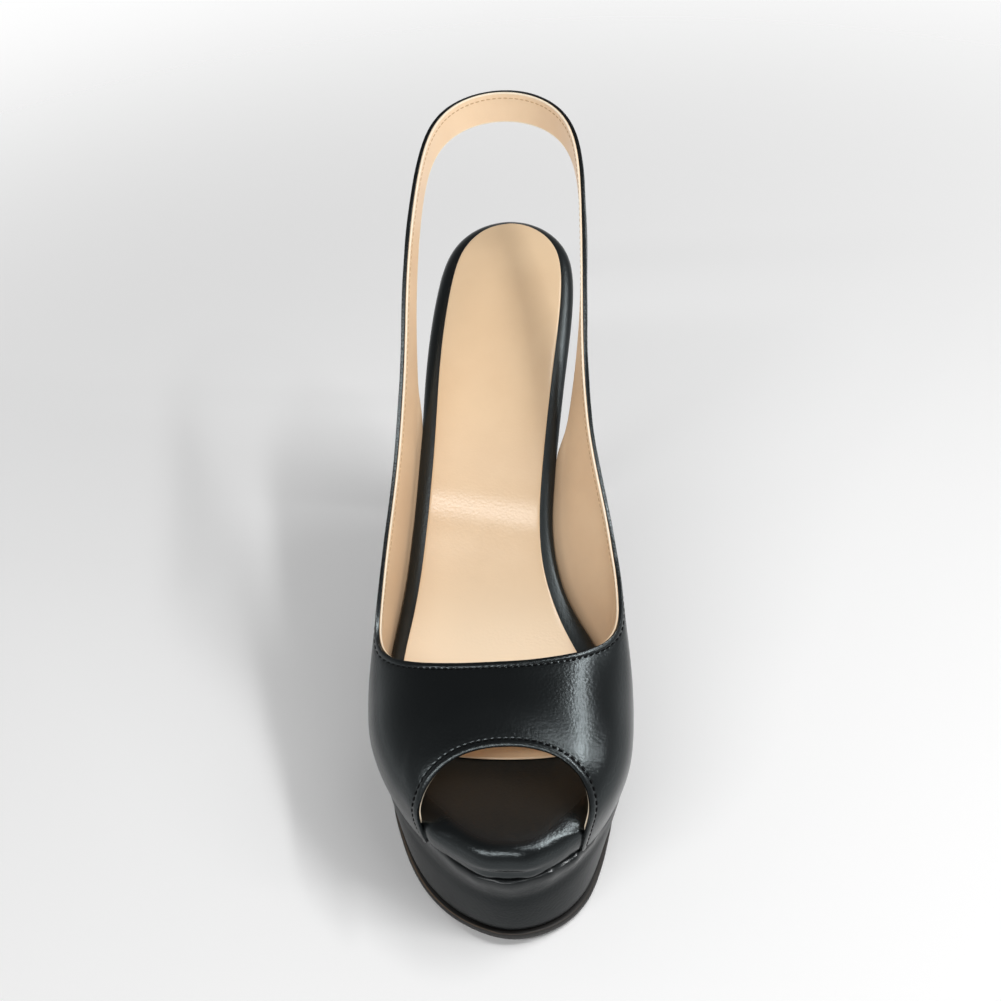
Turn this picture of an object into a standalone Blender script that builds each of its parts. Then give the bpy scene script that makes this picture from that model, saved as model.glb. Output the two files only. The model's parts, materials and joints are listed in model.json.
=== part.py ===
"""Platform slingback sandal with an open toe, the wearer's right shoe.

Stations run from the toe tip towards the heel, heights up from the floor, and both are worked out in
millimetres. In the scene the toe points along -Y, the inner side of the foot along +X, and the origin
lies on the floor in the middle of the shoe's footprint.
"""
import math

import bpy
import numpy as np

MM = 0.001

# Driving dimensions
TOE_TIP = 1.5              # station of the feather line's front, where upper and platform meet
HEEL_BACK = 221.5          # station of the feather line's back
WALL = 2.0                 # leather and lining of the upper
CLEARANCE = 0.3            # between pieces that meet
CUT_END = 15.0             # an end wider than this is cut straight across, not round
ROUND_END = 0.0075         # share of the last's turn left for the blunt end of an outline

# Stations that all sole pieces share, close together where the platform ends in a steep curve
TOE_STATIONS = (30.0, 14)                # round toe: its end and how many
FOREFOOT_STATIONS = (34.0, 66.0, 8)
BALL_STATIONS = (69.0, 114.0, 16)
SHANK_STATIONS = (119.0, 171.0, 10)
HEEL_STATIONS = (176.0, 13)              # round heel: its start and how many
STATION_GAP = 1.0                        # least distance from a shared station to a piece's own

PLATFORM_END = 107.0
HEEL_BREAST = 171.0
OUTSOLE = 3.5              # under the platform
SHANK_OUTSOLE = 2.6        # along the shank
BALL = 66.0                # station where the flat tread ends
OUTSOLE_PROUD = 0.9        # how far the outsole's edge stands out under the platform
OUTSOLE_EDGE = ((0.0, 0.8), (0.25, 0.0), (0.8, 0.0), (1.0, 0.5))   # share of its thickness, inset
SHANK_START = (82.0, 118.0)    # stations between which the sole narrows and thins into the shank
SHANK_MARGIN = 2.2         # the outsole's edge lies this far inside the upper's wall there
INSOLE_FRONT = 1.1         # the insole's front lies this far behind the feather line at the open toe
OPEN_TOE = {"in": (10.0, 13.6), "out": (12.0, 15.8)}   # stations where the insole draws in behind the upper
INSOLE_FILL = 1.3          # how much wider the insole is where the wall flares out on the inner side
FILL_START = (56.0, 70.0)
FILL_END = (108.0, 88.0)
INSOLE_ROLL = (8.0, 7.0)   # depth and height of the rolled front edge at the open toe
INSOLE_RIM = (5.0, 3.2)    # depth and height of the rounded rim beside the sock
ROLL_END = (6.0, 30.0)     # stations between which the roll dies away into the rim
ROLL_ANGLES = (0, 18, 36, 54, 72, 90)
INSOLE_CHAMFER = 0.6
SOCK = 1.0                 # top of the sock above the insole
SOCK_FRONT = 38.6
SOCK_ARC = 11.0            # depth of the sock's rounded front edge
SOCK_BLUNT = 0.1           # angle left for the blunt middle of that edge
SOCK_SAMPLES = 9
SOCK_MARGIN = 5.2          # of the insole that shows beside the sock
SOCK_WAIST = 1.0           # how much narrower that margin is along the inner side of the waist
WAIST_START = (84.0, 104.0)
SOCK_EDGE = ((CLEARANCE, 0.0), (0.7, 0.1), (SOCK, 0.5))   # height above the insole, inset

ARCH_TOP = 31.5            # station of the open toe's edge on the ridge of the vamp
LEG_FOOT = {"in": 14.2, "out": 16.4}   # stations where the open toe's edge meets the platform
LEG_POWER = {"in": 4.5, "out": 6.5}        # how long the edge stands upright before it arches back
THROAT = 57.6              # station of the throat on the ridge
THROAT_CORNER = 96.0       # station where the rounded throat has become the side topline
THROAT_JOIN = 12           # how late the rounded throat takes up the run of the side topline
THROAT_SLANT = 8.5         # the throat lies this much further back on the inner side
THROAT_ROUND = {"in": 1.9, "out": 1.85}    # exponents of the throat's superellipse
QUARTER_END = {"in": 135.0, "out": 141.0}   # stations where the quarters leave the sole
FREE_EDGE_POWER = 2.0      # how steeply the quarters' free edge leaves the sole
STRAP_START = 200.0        # station from which the strap keeps its width
STRAP_WIDTH = 11.0

HEEL_SAMPLES = 22
TIP_FRONT = 194.0
TIP_DEPTH = 12.0
TIP_WIDTH = 11.5
TIP_HEIGHT = 5.5
TIP_CENTRE = -1.6
TIP_ROUND = 2.4            # how squarely the sides of the D-shaped tip run back
TIP_EDGE = ((0.0, -0.3), (0.8, 0.3), (TIP_HEIGHT, 0.3))   # height, how far its outline is grown
HEEL_INSET = 0.8           # of the heel's seat under the insole

# The last: feather line and widest line on the inner and outer side, and how far the widest line and
# the ridge stand above the feather line. Behind the throat the ridge is the instep inside the shoe.
LAST_COLUMNS = ("station", "feather_in", "feather_out", "wide_in", "wide_out", "wide_rise", "ridge_rise")
LAST = (
    (1.5, 5.0, 5.0, 5.0, 5.0, 9.0, 10.0),
    (5.0, 16.0, -6.3, 17.0, -7.5, 10.0, 13.0),
    (10.0, 22.6, -13.8, 24.3, -15.6, 11.0, 17.0),
    (17.0, 28.8, -21.0, 31.0, -23.4, 12.0, 22.0),
    (25.0, 33.7, -27.6, 36.8, -30.4, 13.0, 27.5),
    (35.0, 38.2, -34.0, 41.2, -36.8, 14.5, 32.5),
    (47.0, 40.7, -39.0, 43.2, -41.6, 16.0, 37.0),
    (60.0, 40.5, -41.5, 43.2, -43.2, 18.5, 41.0),
    (72.0, 37.6, -41.8, 42.2, -42.6, 23.5, 47.5),
    (84.0, 32.3, -40.9, 40.2, -40.6, 29.5, 57.0),
    (95.0, 25.2, -38.8, 38.0, -39.3, 33.0, 66.5),
    (106.0, 20.0, -36.8, 35.7, -37.9, 36.0, 76.0),
    (118.0, 17.9, -35.1, 32.6, -36.2, 38.0, 86.0),
    (130.0, 18.5, -33.7, 29.8, -34.8, 38.0, 94.0),
    (145.0, 20.3, -32.4, 28.4, -33.6, 36.0, 100.0),
    (160.0, 22.3, -31.6, 28.4, -33.2, 35.0, 105.0),
    (175.0, 24.2, -30.3, 28.2, -31.8, 36.0, 108.0),
    (190.0, 24.9, -28.3, 27.4, -29.6, 38.0, 110.0),
    (203.0, 22.9, -25.3, 24.4, -26.4, 40.0, 110.0),
    (213.0, 16.9, -19.6, 18.2, -20.6, 41.0, 110.0),
    (221.5, -1.4, -1.4, -1.4, -1.4, 42.0, 110.0),
)
WIDE_SHARE = 0.35          # share of a section's run from feather line to ridge below the widest line
WALL_POWER = 1.7           # how roundly the wall leaves the feather line
VAMP_POWER = 2.35          # exponent of the section's superellipse above the widest line
RIDGE_OFFSET = 3.0         # the ridge lies this much nearer the inner side than the middle

# The side profile: foot bed, insole under it, underside of the outsole up to the shank, and the topline
PROFILE_COLUMNS = ("station", "seat", "insole_depth", "ground", "topline_above_seat")
PROFILE = (
    (0.0, 42.0, 12.0, 3.2, 24.0),
    (10.0, 41.6, 12.0, 0.9, 24.0),
    (22.0, 41.0, 12.0, 0.0, 24.0),
    (45.0, 40.5, 12.0, 0.0, 24.0),
    (66.0, 41.2, 12.0, 0.0, 24.0),
    (72.0, 42.4, 11.7, 1.1, 24.2),
    (80.0, 44.8, 11.0, 6.5, 24.8),
    (95.0, 52.3, 9.0, 27.0, 26.6),
    (110.0, 63.3, 7.2, 53.0, 27.5),
    (125.0, 76.2, 6.2, 80.0, 29.0),
    (140.0, 89.5, 5.6, 100.0, 32.0),
    (155.0, 102.0, 5.2, 115.0, 36.0),
    (170.0, 112.6, 5.0, 130.0, 40.5),
    (185.0, 121.2, 5.0, 145.0, 44.5),
    (205.0, 129.4, 5.0, 160.0, 47.3),
    (224.0, 134.0, 5.0, 170.0, 48.0),
)

# The platform's side, from its underside up: share of its height and inset from the feather line,
# the inset at the toe, along the inner side and along the outer side
PLATFORM_COLUMNS = ("share", "inset_toe", "inset_in", "inset_out")
PLATFORM_SIDE = (
    (0.00, 0.4, 6.8, 3.4),
    (0.04, -0.6, 6.0, 2.6),
    (0.35, -0.6, 3.8, 1.6),
    (0.70, 0.0, 1.7, 0.8),
    (0.95, 0.5, 0.5, 0.5),
    (1.00, 1.3, 1.2, 1.2),
)
# Stations between which the toe's inset becomes the side's
PLATFORM_TOE = {"in": (4.0, 42.0), "out": (14.0, 44.0)}

# The heel, from its tip up: share of the way from the tip's outline to the seat's outline
HEEL_COLUMNS = ("level", "width", "front", "back")
HEEL_SHAPE = (
    (0.00, 0.00, 0.00, 0.00),
    (0.15, 0.02, 0.02, 0.06),
    (0.35, 0.07, 0.06, 0.18),
    (0.55, 0.16, 0.14, 0.36),
    (0.70, 0.29, 0.26, 0.54),
    (0.82, 0.47, 0.44, 0.71),
    (0.91, 0.68, 0.66, 0.85),
    (0.97, 0.88, 0.87, 0.95),
    (1.00, 1.00, 1.00, 1.00),
)

# Columns of the upper's net in each stretch of its edges, and rows from its lower to its upper edge
NET_COLUMNS = {"toe": 13, "vamp": 14, "quarter": 12, "strap": 18}
NET_ROWS = 9
SHARP_ANGLE = 40.0         # degrees past which an edge is shaded as sharp
VAMP_END = 84.0            # station on the feather line across from the throat's corner
QUARTER_TOP = 128.0        # station on the topline across from the quarter's end
CORNER_TURN = 55.0         # degrees of the throat's superellipse above the open toe


def fair_slopes(knots, values):
    """Slopes of the natural spline, whose curvature is even from knot to knot."""
    steps = np.diff(knots)
    secants = np.diff(values) / steps
    count = len(knots)
    system = np.zeros((count, count))
    right = np.zeros(count)
    system[0, :2] = (2, 1)
    right[0] = 3 * secants[0]
    system[-1, -2:] = (1, 2)
    right[-1] = 3 * secants[-1]
    for i in range(1, count - 1):
        before, after = steps[i - 1], steps[i]
        system[i, i - 1:i + 2] = (after, 2 * (before + after), before)
        right[i] = 3 * (after * secants[i - 1] + before * secants[i])
    return np.linalg.solve(system, right)


def level_slopes(knots, values):
    """Slopes that keep level stretches level and never overshoot."""
    steps = np.diff(knots)
    secants = np.diff(values) / steps
    slopes = np.zeros(len(knots))
    slopes[0] = secants[0]
    slopes[-1] = secants[-1]
    rising = secants[:-1] * secants[1:] > 0
    for i in np.nonzero(rising)[0]:
        before = 2 * steps[i + 1] + steps[i]
        after = steps[i + 1] + 2 * steps[i]
        slopes[i + 1] = (before + after) / (before / secants[i] + after / secants[i + 1])
    return slopes


def smooth_curve(knots, values, slopes):
    """A cubic through the knots with the given slopes."""
    steps = np.diff(knots)

    def curve(x):
        x = np.clip(x, knots[0], knots[-1])
        i = np.clip(np.searchsorted(knots, x) - 1, 0, len(steps) - 1)
        t = (x - knots[i]) / steps[i]
        start = (1 + 2 * t) * (1 - t) ** 2 * values[i] + t * (1 - t) ** 2 * steps[i] * slopes[i]
        end = t * t * (3 - 2 * t) * values[i + 1] + t * t * (t - 1) * steps[i] * slopes[i + 1]
        return start + end

    return curve


def read_table(columns, rows, find_slopes, place=None):
    """One smooth curve for each column after the first, over the first column or a measure of it."""
    data = np.array(rows, dtype=float)
    knots = data[:, 0] if place is None else place(data[:, 0])
    curves = {}
    for index, name in enumerate(columns[1:], start=1):
        values = data[:, index]
        curves[name] = smooth_curve(knots, values, find_slopes(knots, values))
    return curves


def turn(station):
    """Angle share along the last, so that outlines close roundly at the toe and the heel."""
    share = (np.asarray(station, dtype=float) - TOE_TIP) / (HEEL_BACK - TOE_TIP)
    return np.arccos(1 - 2 * np.clip(share, 0, 1)) / math.pi


def station_at(turn_share):
    return TOE_TIP + (HEEL_BACK - TOE_TIP) * (1 - np.cos(math.pi * turn_share)) / 2


def ease(value, limits):
    t = np.clip((value - limits[0]) / (limits[1] - limits[0]), 0, 1)
    return t * t * (3 - 2 * t)


def blend(a, b, share):
    return a + (b - a) * share


last = read_table(LAST_COLUMNS, LAST, fair_slopes, turn)
profile = read_table(PROFILE_COLUMNS, PROFILE, level_slopes)
foot_bed = read_table(PROFILE_COLUMNS, PROFILE, fair_slopes)
platform_rows = [dict(zip(PLATFORM_COLUMNS, row)) for row in PLATFORM_SIDE]
platform_edge = platform_rows[1]
heel_rows = [dict(zip(HEEL_COLUMNS, row)) for row in HEEL_SHAPE]


def last_at(name, station):
    return last[name](turn(station))


def seat(station):
    return foot_bed["seat"](station)


def insole_bottom(station):
    return seat(station) - profile["insole_depth"](station)


def platform_top(station):
    return insole_bottom(station) - CLEARANCE


def outsole_top(station):
    """Flat under the forefoot, then up behind the platform and along the underside of the shank."""
    return np.minimum(profile["ground"](station) + OUTSOLE, insole_bottom(station) - CLEARANCE)


def upright(station):
    """How much longer the outsole's thickness measures straight up, where it climbs behind the ball."""
    step = 0.5
    slope = (outsole_top(station + step) - outsole_top(station - step)) / (2 * step)
    return np.where(station < BALL, 1, np.hypot(1, slope))


def outsole_bottom(station):
    thickness = blend(OUTSOLE, SHANK_OUTSOLE, ease(station, SHANK_START))
    return outsole_top(station) - thickness * upright(station)


def platform_bottom(station):
    return outsole_top(station) + CLEARANCE * upright(station)


def sole_stations(final=None):
    """The shared stations, crowded at the round toe and heel, up to a straight end if there is one."""
    toe_end, toe_count = TOE_STATIONS
    heel_start, heel_count = HEEL_STATIONS
    stations = np.concatenate([
        station_at(np.linspace(ROUND_END, turn(toe_end), toe_count)),
        np.linspace(*FOREFOOT_STATIONS),
        np.linspace(*BALL_STATIONS),
        np.linspace(*SHANK_STATIONS),
        station_at(np.linspace(turn(heel_start), 1 - ROUND_END, heel_count)),
    ])
    if final is None:
        return stations
    return np.append(stations[stations < final - STATION_GAP], final)


def ladder_ring(stations, inner, outer):
    """A closed outline: along the inner side to the heel, then back along the outer side."""
    x = np.concatenate([inner, outer[::-1]])
    s = np.concatenate([stations, stations[::-1]])
    return np.stack([x, s], axis=1)


def inset_ring(ring, distance):
    """The outline moved inwards, square to itself, by one distance or one for each point."""
    along = np.roll(ring, -1, axis=0) - np.roll(ring, 1, axis=0)
    along /= np.linalg.norm(along, axis=1, keepdims=True)
    inward = np.stack([-along[:, 1], along[:, 0]], axis=1)
    half = len(ring) // 2
    for inner, outer in ((0, -1), (half - 1, half)):
        if ring[inner, 0] - ring[outer, 0] > CUT_END:
            inward[inner] = (-1, 0)
            inward[outer] = (1, 0)
    return ring + inward * np.broadcast_to(distance, len(ring))[:, None]


def raise_ring(ring, height):
    """The outline in space, with a height for each of its stations."""
    return np.column_stack([ring, height(ring[:, 1])])


def feather_ring(final=None):
    stations = sole_stations(final)
    return ladder_ring(stations, last_at("feather_in", stations), last_at("feather_out", stations))


def new_object(name, points, faces, material):
    mesh = bpy.data.meshes.new(name)
    mesh.from_pydata(np.asarray(points) * MM, [], faces)
    mesh.shade_smooth()
    mesh.set_sharp_from_angle(angle=math.radians(SHARP_ANGLE))
    mesh.materials.append(material)
    piece = bpy.data.objects.new(name, mesh)
    bpy.context.collection.objects.link(piece)
    return piece


def skin_rings(name, rings, material):
    """A closed solid over stacked outlines, with rungs from side to side across its two ends."""
    size = len(rings[0])
    half = size // 2
    points = np.concatenate(rings)
    faces = []
    for level in range(len(rings) - 1):
        low = level * size
        high = low + size
        for i in range(size):
            after = (i + 1) % size
            faces.append((low + i, low + after, high + after, high + i))
    top = (len(rings) - 1) * size
    for i in range(half - 1):
        rung = (i, i + 1, size - 2 - i, size - 1 - i)
        faces.append(tuple(top + k for k in rung))
        faces.append(rung[::-1])
    return new_object(name, points, faces, material)


def leather(name, colour, roughness):
    material = bpy.data.materials.new(name)
    material.use_nodes = True
    shader = material.node_tree.nodes["Principled BSDF"]
    shader.inputs["Base Color"].default_value = (*colour, 1.0)
    shader.inputs["Roughness"].default_value = roughness
    return material


def platform_inset(row, stations):
    """Insets for the points of a ring, whose first half runs along the inner side."""
    inner, outer = np.split(stations, 2)
    return np.concatenate([
        blend(row["inset_toe"], row["inset_in"], ease(inner, PLATFORM_TOE["in"])),
        blend(row["inset_toe"], row["inset_out"], ease(outer, PLATFORM_TOE["out"])),
    ])


def make_outsole(material):
    outline = feather_ring(final=HEEL_BREAST - CLEARANCE)
    stations = outline[:, 1]
    under_platform = platform_inset(platform_edge, stations) - OUTSOLE_PROUD
    base = blend(under_platform, WALL + SHANK_MARGIN, ease(stations, SHANK_START))
    rings = []
    for share, inset in OUTSOLE_EDGE:
        ring = inset_ring(outline, base + inset)
        rings.append(raise_ring(ring, lambda s: blend(outsole_bottom(s), outsole_top(s), share)))
    return skin_rings("outsole", rings, material)


def make_platform(material):
    outline = feather_ring(final=PLATFORM_END)
    rings = []
    for row in platform_rows:
        ring = inset_ring(outline, platform_inset(row, outline[:, 1]))
        rings.append(raise_ring(ring, lambda s: blend(platform_bottom(s), platform_top(s), row["share"])))
    return skin_rings("platform", rings, material)


def make_insole(material):
    """The board with its rolled front and rounded rim, ring after ring from its underside up."""
    feather = feather_ring()
    inner, outer = np.split(feather[:, 1], 2)
    behind = np.concatenate([ease(inner, OPEN_TOE["in"]), ease(outer, OPEN_TOE["out"])])
    fill = np.concatenate([INSOLE_FILL * ease(inner, FILL_START) * ease(inner, FILL_END), 0 * outer])
    inset = blend(INSOLE_FRONT, WALL + CLEARANCE, behind)
    outline = inset_ring(feather, inset - fill)
    fade = ease(outline[:, 1], ROLL_END)
    depth = blend(INSOLE_ROLL[0], INSOLE_RIM[0], fade)
    height = blend(INSOLE_ROLL[1], INSOLE_RIM[1], fade)
    rings = [raise_ring(inset_ring(feather, inset + INSOLE_CHAMFER), insole_bottom)]
    for angle in np.radians(ROLL_ANGLES):
        ring = inset_ring(outline, depth * (1 - math.cos(angle)))
        drop = height * (1 - math.sin(angle))
        rings.append(np.column_stack([ring, seat(ring[:, 1]) - drop]))
    return skin_rings("insole", rings, material)


def make_sock(material):
    front = SOCK_FRONT + SOCK_ARC * (1 - np.cos(np.linspace(SOCK_BLUNT, math.pi / 2, SOCK_SAMPLES)))
    shared = sole_stations()
    stations = np.concatenate([front, shared[shared > SOCK_FRONT + SOCK_ARC + STATION_GAP]])
    inner = last_at("feather_in", stations)
    outer = last_at("feather_out", stations)
    share = np.clip((stations - SOCK_FRONT) / SOCK_ARC, 0, 1)
    round_front = np.sqrt(1 - (1 - share) ** 2)
    middle = (inner + outer) / 2
    outline = ladder_ring(stations, blend(middle, inner, round_front), blend(middle, outer, round_front))
    margin = WALL + CLEARANCE + SOCK_MARGIN * ease(outline[:, 1], (SOCK_FRONT, SOCK_FRONT + SOCK_ARC))
    margin[:len(stations)] -= SOCK_WAIST * ease(stations, WAIST_START)
    outline = inset_ring(outline, margin)
    rings = []
    for height, inset in SOCK_EDGE:
        ring = inset_ring(outline, inset)
        rings.append(np.column_stack([ring, seat(ring[:, 1]) + height]))
    return skin_rings("sock_lining", rings, material)


def section_point(station, side, run):
    """A point of the last's surface: its run is 0 at the feather line and 1 on the ridge."""
    feather = last_at("feather_" + side, station)
    wide = last_at("wide_" + side, station)
    middle = (last_at("wide_in", station) + last_at("wide_out", station)) / 2
    ridge = middle + RIDGE_OFFSET * ease(station, (HEEL_BACK, THROAT_CORNER))
    wide_rise = last_at("wide_rise", station)
    ridge_rise = last_at("ridge_rise", station)
    below = np.clip(run / WIDE_SHARE, 0, 1)
    angle = np.clip((run - WIDE_SHARE) / (1 - WIDE_SHARE), 0, 1) * math.pi / 2
    wall_x = wide - (wide - feather) * (1 - below) ** WALL_POWER
    vamp_x = ridge + (wide - ridge) * np.maximum(np.cos(angle), 0) ** (2 / VAMP_POWER)
    rise = wide_rise * below + (ridge_rise - wide_rise) * np.sin(angle) ** (2 / VAMP_POWER)
    x = np.where(run < WIDE_SHARE, wall_x, vamp_x)
    return np.stack([x, station, platform_top(station) + CLEARANCE + rise], axis=-1)


def run_at_rise(station, rise):
    """The run at which a section has risen this far above the feather line."""
    wide_rise = last_at("wide_rise", station)
    ridge_rise = last_at("ridge_rise", station)
    above = np.clip((rise - wide_rise) / (ridge_rise - wide_rise), 0, 1)
    angle = np.arcsin(above ** (VAMP_POWER / 2))
    high = WIDE_SHARE + (1 - WIDE_SHARE) * angle / (math.pi / 2)
    return np.where(rise < wide_rise, WIDE_SHARE * rise / wide_rise, high)


def topline_run(station):
    return run_at_rise(station, profile["insole_depth"](station) + foot_bed["topline_above_seat"](station))


def lower_run(station, side):
    """The free lower edge of quarter and strap."""
    top = profile["insole_depth"](station) + foot_bed["topline_above_seat"](station)
    t = np.clip((station - QUARTER_END[side]) / (STRAP_START - QUARTER_END[side]), 0, 1)
    return run_at_rise(station, (top - STRAP_WIDTH) * (1 - (1 - t) ** FREE_EDGE_POWER))


def spread(first, final, count):
    return np.linspace(first, final, count, endpoint=False)


def spread_to_back(first, count):
    """Stations from the first to the heel's back, crowded where the strap turns round."""
    return first + (HEEL_BACK - first) * np.sin(np.linspace(0, math.pi / 2, count + 1))


def lower_edge(side):
    """Station and run along the open toe, the feather line, the quarter's free edge and the strap."""
    toe_run = spread(1.0, 0.0, NET_COLUMNS["toe"])
    leg = LEG_FOOT[side]
    toe = leg + (ARCH_TOP - leg) * np.sin(toe_run * math.pi / 2) ** LEG_POWER[side]
    vamp = spread(leg, VAMP_END, NET_COLUMNS["vamp"])
    quarter = spread(VAMP_END, QUARTER_END[side], NET_COLUMNS["quarter"])
    strap = spread_to_back(QUARTER_END[side], NET_COLUMNS["strap"])
    stations = np.concatenate([toe, vamp, quarter, strap])
    attached = np.zeros(len(vamp) + len(quarter))
    return stations, np.concatenate([toe_run, attached, lower_run(strap, side)])


def upper_edge(side):
    """Station and run along the throat, the side topline and the strap's upper edge."""
    turns = np.concatenate([
        spread(0.0, CORNER_TURN, NET_COLUMNS["toe"]),
        spread(CORNER_TURN, 90.0, NET_COLUMNS["vamp"]),
    ])
    turns = np.radians(turns)
    power = 2 / THROAT_ROUND[side]
    throat = THROAT + (THROAT_CORNER - THROAT) * (1 - np.cos(turns) ** power)
    side_run = blend(topline_run(THROAT_CORNER), topline_run(throat), np.sin(turns) ** THROAT_JOIN)
    throat_run = 1 - (1 - side_run) * np.sin(turns) ** power
    sign = 1 if side == "in" else -1
    throat = throat + sign * THROAT_SLANT * (1 - throat_run) * np.cos(turns)
    quarter = spread(THROAT_CORNER, QUARTER_TOP, NET_COLUMNS["quarter"])
    strap = spread_to_back(QUARTER_TOP, NET_COLUMNS["strap"])
    rest = np.concatenate([quarter, strap])
    return np.concatenate([throat, rest]), np.concatenate([throat_run, topline_run(rest)])


def half_upper(side):
    """The net of one side from the front of the vamp to the back of the strap, row after row."""
    low_station, low_run = lower_edge(side)
    high_station, high_run = upper_edge(side)
    rows = []
    for share in np.linspace(0, 1, NET_ROWS):
        station = blend(low_station, high_station, share)
        run = blend(low_run, high_run, share)
        rows.append(section_point(station, side, run))
    return np.array(rows)


def make_upper(material):
    """Vamp, quarters and strap as one wall, closed round the heel and open at both of its edges."""
    inner = half_upper("in")
    outer = half_upper("out")
    net = np.concatenate([inner, outer[:, -2:0:-1]], axis=1)
    rows, columns = net.shape[:2]
    faces = []
    for row in range(rows - 1):
        for column in range(columns):
            after = (column + 1) % columns
            low = row * columns
            high = low + columns
            faces.append((low + column, low + after, high + after, high + column))
    upper = new_object("upper", net.reshape(-1, 3), faces, material)
    wall = upper.modifiers.new("Wall", "SOLIDIFY")
    wall.thickness = WALL * MM
    wall.offset = -1
    wall.use_even_offset = True
    wall.use_quality_normals = True
    return upper


def tip_shares():
    """Shares of the tip's depth, crowded at its front and at its back."""
    return (1 - np.cos(np.linspace(0.0, math.pi * (1 - ROUND_END), HEEL_SAMPLES))) / 2


def tip_ring(grow):
    """The D-shaped outline of the heel's tip, straight in front and round behind."""
    share = tip_shares()
    half = (TIP_WIDTH / 2 + grow) * np.sqrt(1 - share ** TIP_ROUND)
    stations = TIP_FRONT - grow + (TIP_DEPTH + 2 * grow) * share
    return ladder_ring(stations, TIP_CENTRE + half, TIP_CENTRE - half)


def make_heel(material):
    """From the tip's outline up to the seat's, point by point, by the shares of the table."""
    tip = tip_ring(0.0)
    share = tip_shares()
    stations = HEEL_BREAST + (HEEL_BACK - HEEL_BREAST) * share
    stations = np.minimum(stations, station_at(1 - ROUND_END))
    seat_ring = ladder_ring(stations, last_at("feather_in", stations), last_at("feather_out", stations))
    seat_ring = inset_ring(seat_ring, WALL + CLEARANCE + HEEL_INSET)
    seat_height = insole_bottom(seat_ring[:, 1]) - CLEARANCE
    behind = np.concatenate([share, share[::-1]])
    rings = []
    for row in heel_rows:
        x = blend(tip[:, 0], seat_ring[:, 0], row["width"])
        s = blend(tip[:, 1], seat_ring[:, 1], blend(row["front"], row["back"], behind))
        z = blend(TIP_HEIGHT + CLEARANCE, seat_height, row["level"])
        rings.append(np.column_stack([x, s, z]))
    return skin_rings("heel", rings, material)


def make_heel_tip(material):
    rings = []
    for height, grow in TIP_EDGE:
        rings.append(raise_ring(tip_ring(grow), lambda s: np.full(len(s), height)))
    return skin_rings("heel_tip", rings, material)


def centre_on_footprint(pieces):
    """Put the scene's origin under the middle of the whole shoe."""
    corners = []
    depsgraph = bpy.context.evaluated_depsgraph_get()
    for piece in pieces:
        corners += [tuple(corner) for corner in piece.evaluated_get(depsgraph).bound_box]
    middle = (np.min(corners, axis=0) + np.max(corners, axis=0)) / 2
    for piece in pieces:
        for vertex in piece.data.vertices:
            vertex.co.x -= middle[0]
            vertex.co.y -= middle[1]


def main():
    for item in list(bpy.data.objects):
        bpy.data.objects.remove(item, do_unlink=True)
    black = leather("black_leather", (0.012, 0.012, 0.013), 0.38)
    beige = leather("beige_leather", (0.78, 0.58, 0.40), 0.5)
    sole = leather("sole_rubber", (0.02, 0.017, 0.015), 0.55)
    pieces = [
        make_outsole(sole),
        make_platform(black),
        make_insole(black),
        make_sock(beige),
        make_upper(black),
        make_heel(black),
        make_heel_tip(sole),
    ]
    centre_on_footprint(pieces)


main()
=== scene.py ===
"""Looks of the platform slingback sandal: leather, lining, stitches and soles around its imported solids.

Lengths are in metres, in the frame's own axes: the toe points along -Y and the foot's inner side is +X.
"""
import json
import math

import bpy
import numpy as np
from mathutils import Euler, Matrix, Vector, noise
from mathutils.bvhtree import BVHTree
from mathutils.kdtree import KDTree

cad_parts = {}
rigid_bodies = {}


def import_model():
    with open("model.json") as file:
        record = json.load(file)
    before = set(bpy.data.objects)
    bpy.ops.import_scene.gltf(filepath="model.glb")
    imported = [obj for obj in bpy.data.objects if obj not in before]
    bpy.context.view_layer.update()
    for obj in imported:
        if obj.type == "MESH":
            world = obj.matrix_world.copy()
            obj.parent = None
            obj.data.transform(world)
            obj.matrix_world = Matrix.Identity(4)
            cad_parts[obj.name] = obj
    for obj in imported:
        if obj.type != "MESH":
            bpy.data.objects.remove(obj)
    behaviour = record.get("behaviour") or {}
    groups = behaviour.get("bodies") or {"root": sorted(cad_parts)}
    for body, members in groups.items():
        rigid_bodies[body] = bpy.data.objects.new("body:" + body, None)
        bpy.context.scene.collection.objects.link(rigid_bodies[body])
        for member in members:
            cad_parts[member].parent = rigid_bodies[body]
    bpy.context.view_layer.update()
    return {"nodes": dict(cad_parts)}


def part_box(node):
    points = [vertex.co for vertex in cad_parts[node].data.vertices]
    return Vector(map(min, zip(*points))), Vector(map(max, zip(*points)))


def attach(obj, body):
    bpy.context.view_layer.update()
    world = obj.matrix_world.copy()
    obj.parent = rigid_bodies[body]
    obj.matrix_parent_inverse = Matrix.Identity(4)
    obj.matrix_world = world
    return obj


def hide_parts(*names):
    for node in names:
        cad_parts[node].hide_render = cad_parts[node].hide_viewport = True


MM = 0.001

# The photograph's viewpoint, turned and widened so that the whole shoe is in the picture
FRAME_PIXELS = 1001
FOCAL_PIXELS = 1490
SENSOR_MM = 36.0
CAMERA_PLACE = (0.0436, -0.3720, 0.4086)
PHOTO_PITCH = math.radians(48)   # the photograph looks down by this much, straight along +Y
CAMERA_AIM = (-0.003, 0.021, 0.071)

# The upper's wall: leather outside, lining inside
LEATHER = 1.2 * MM
LINING = 0.74 * MM
LEATHER_ROUND = 0.5 * MM       # rounding of the leather's folded edges
LINING_ROUND = 0.2 * MM
RIM_ANGLE = math.radians(52)   # edges sharper than this are rims
BEAD = 0.22 * MM               # how far the leather swells between an edge and its row of stitches
SEAM_DEPTH = 0.6 * BEAD        # of the soft trough along the row
SEAM_WIDTH = 0.7 * MM
SWELL_TILT = (0.3, 0.8)        # only points that face the way the outer side does swell
UNEVEN = 0.16 * MM             # height of the leather's soft unevenness
UNEVEN_SIZE = 13 * MM

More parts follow.
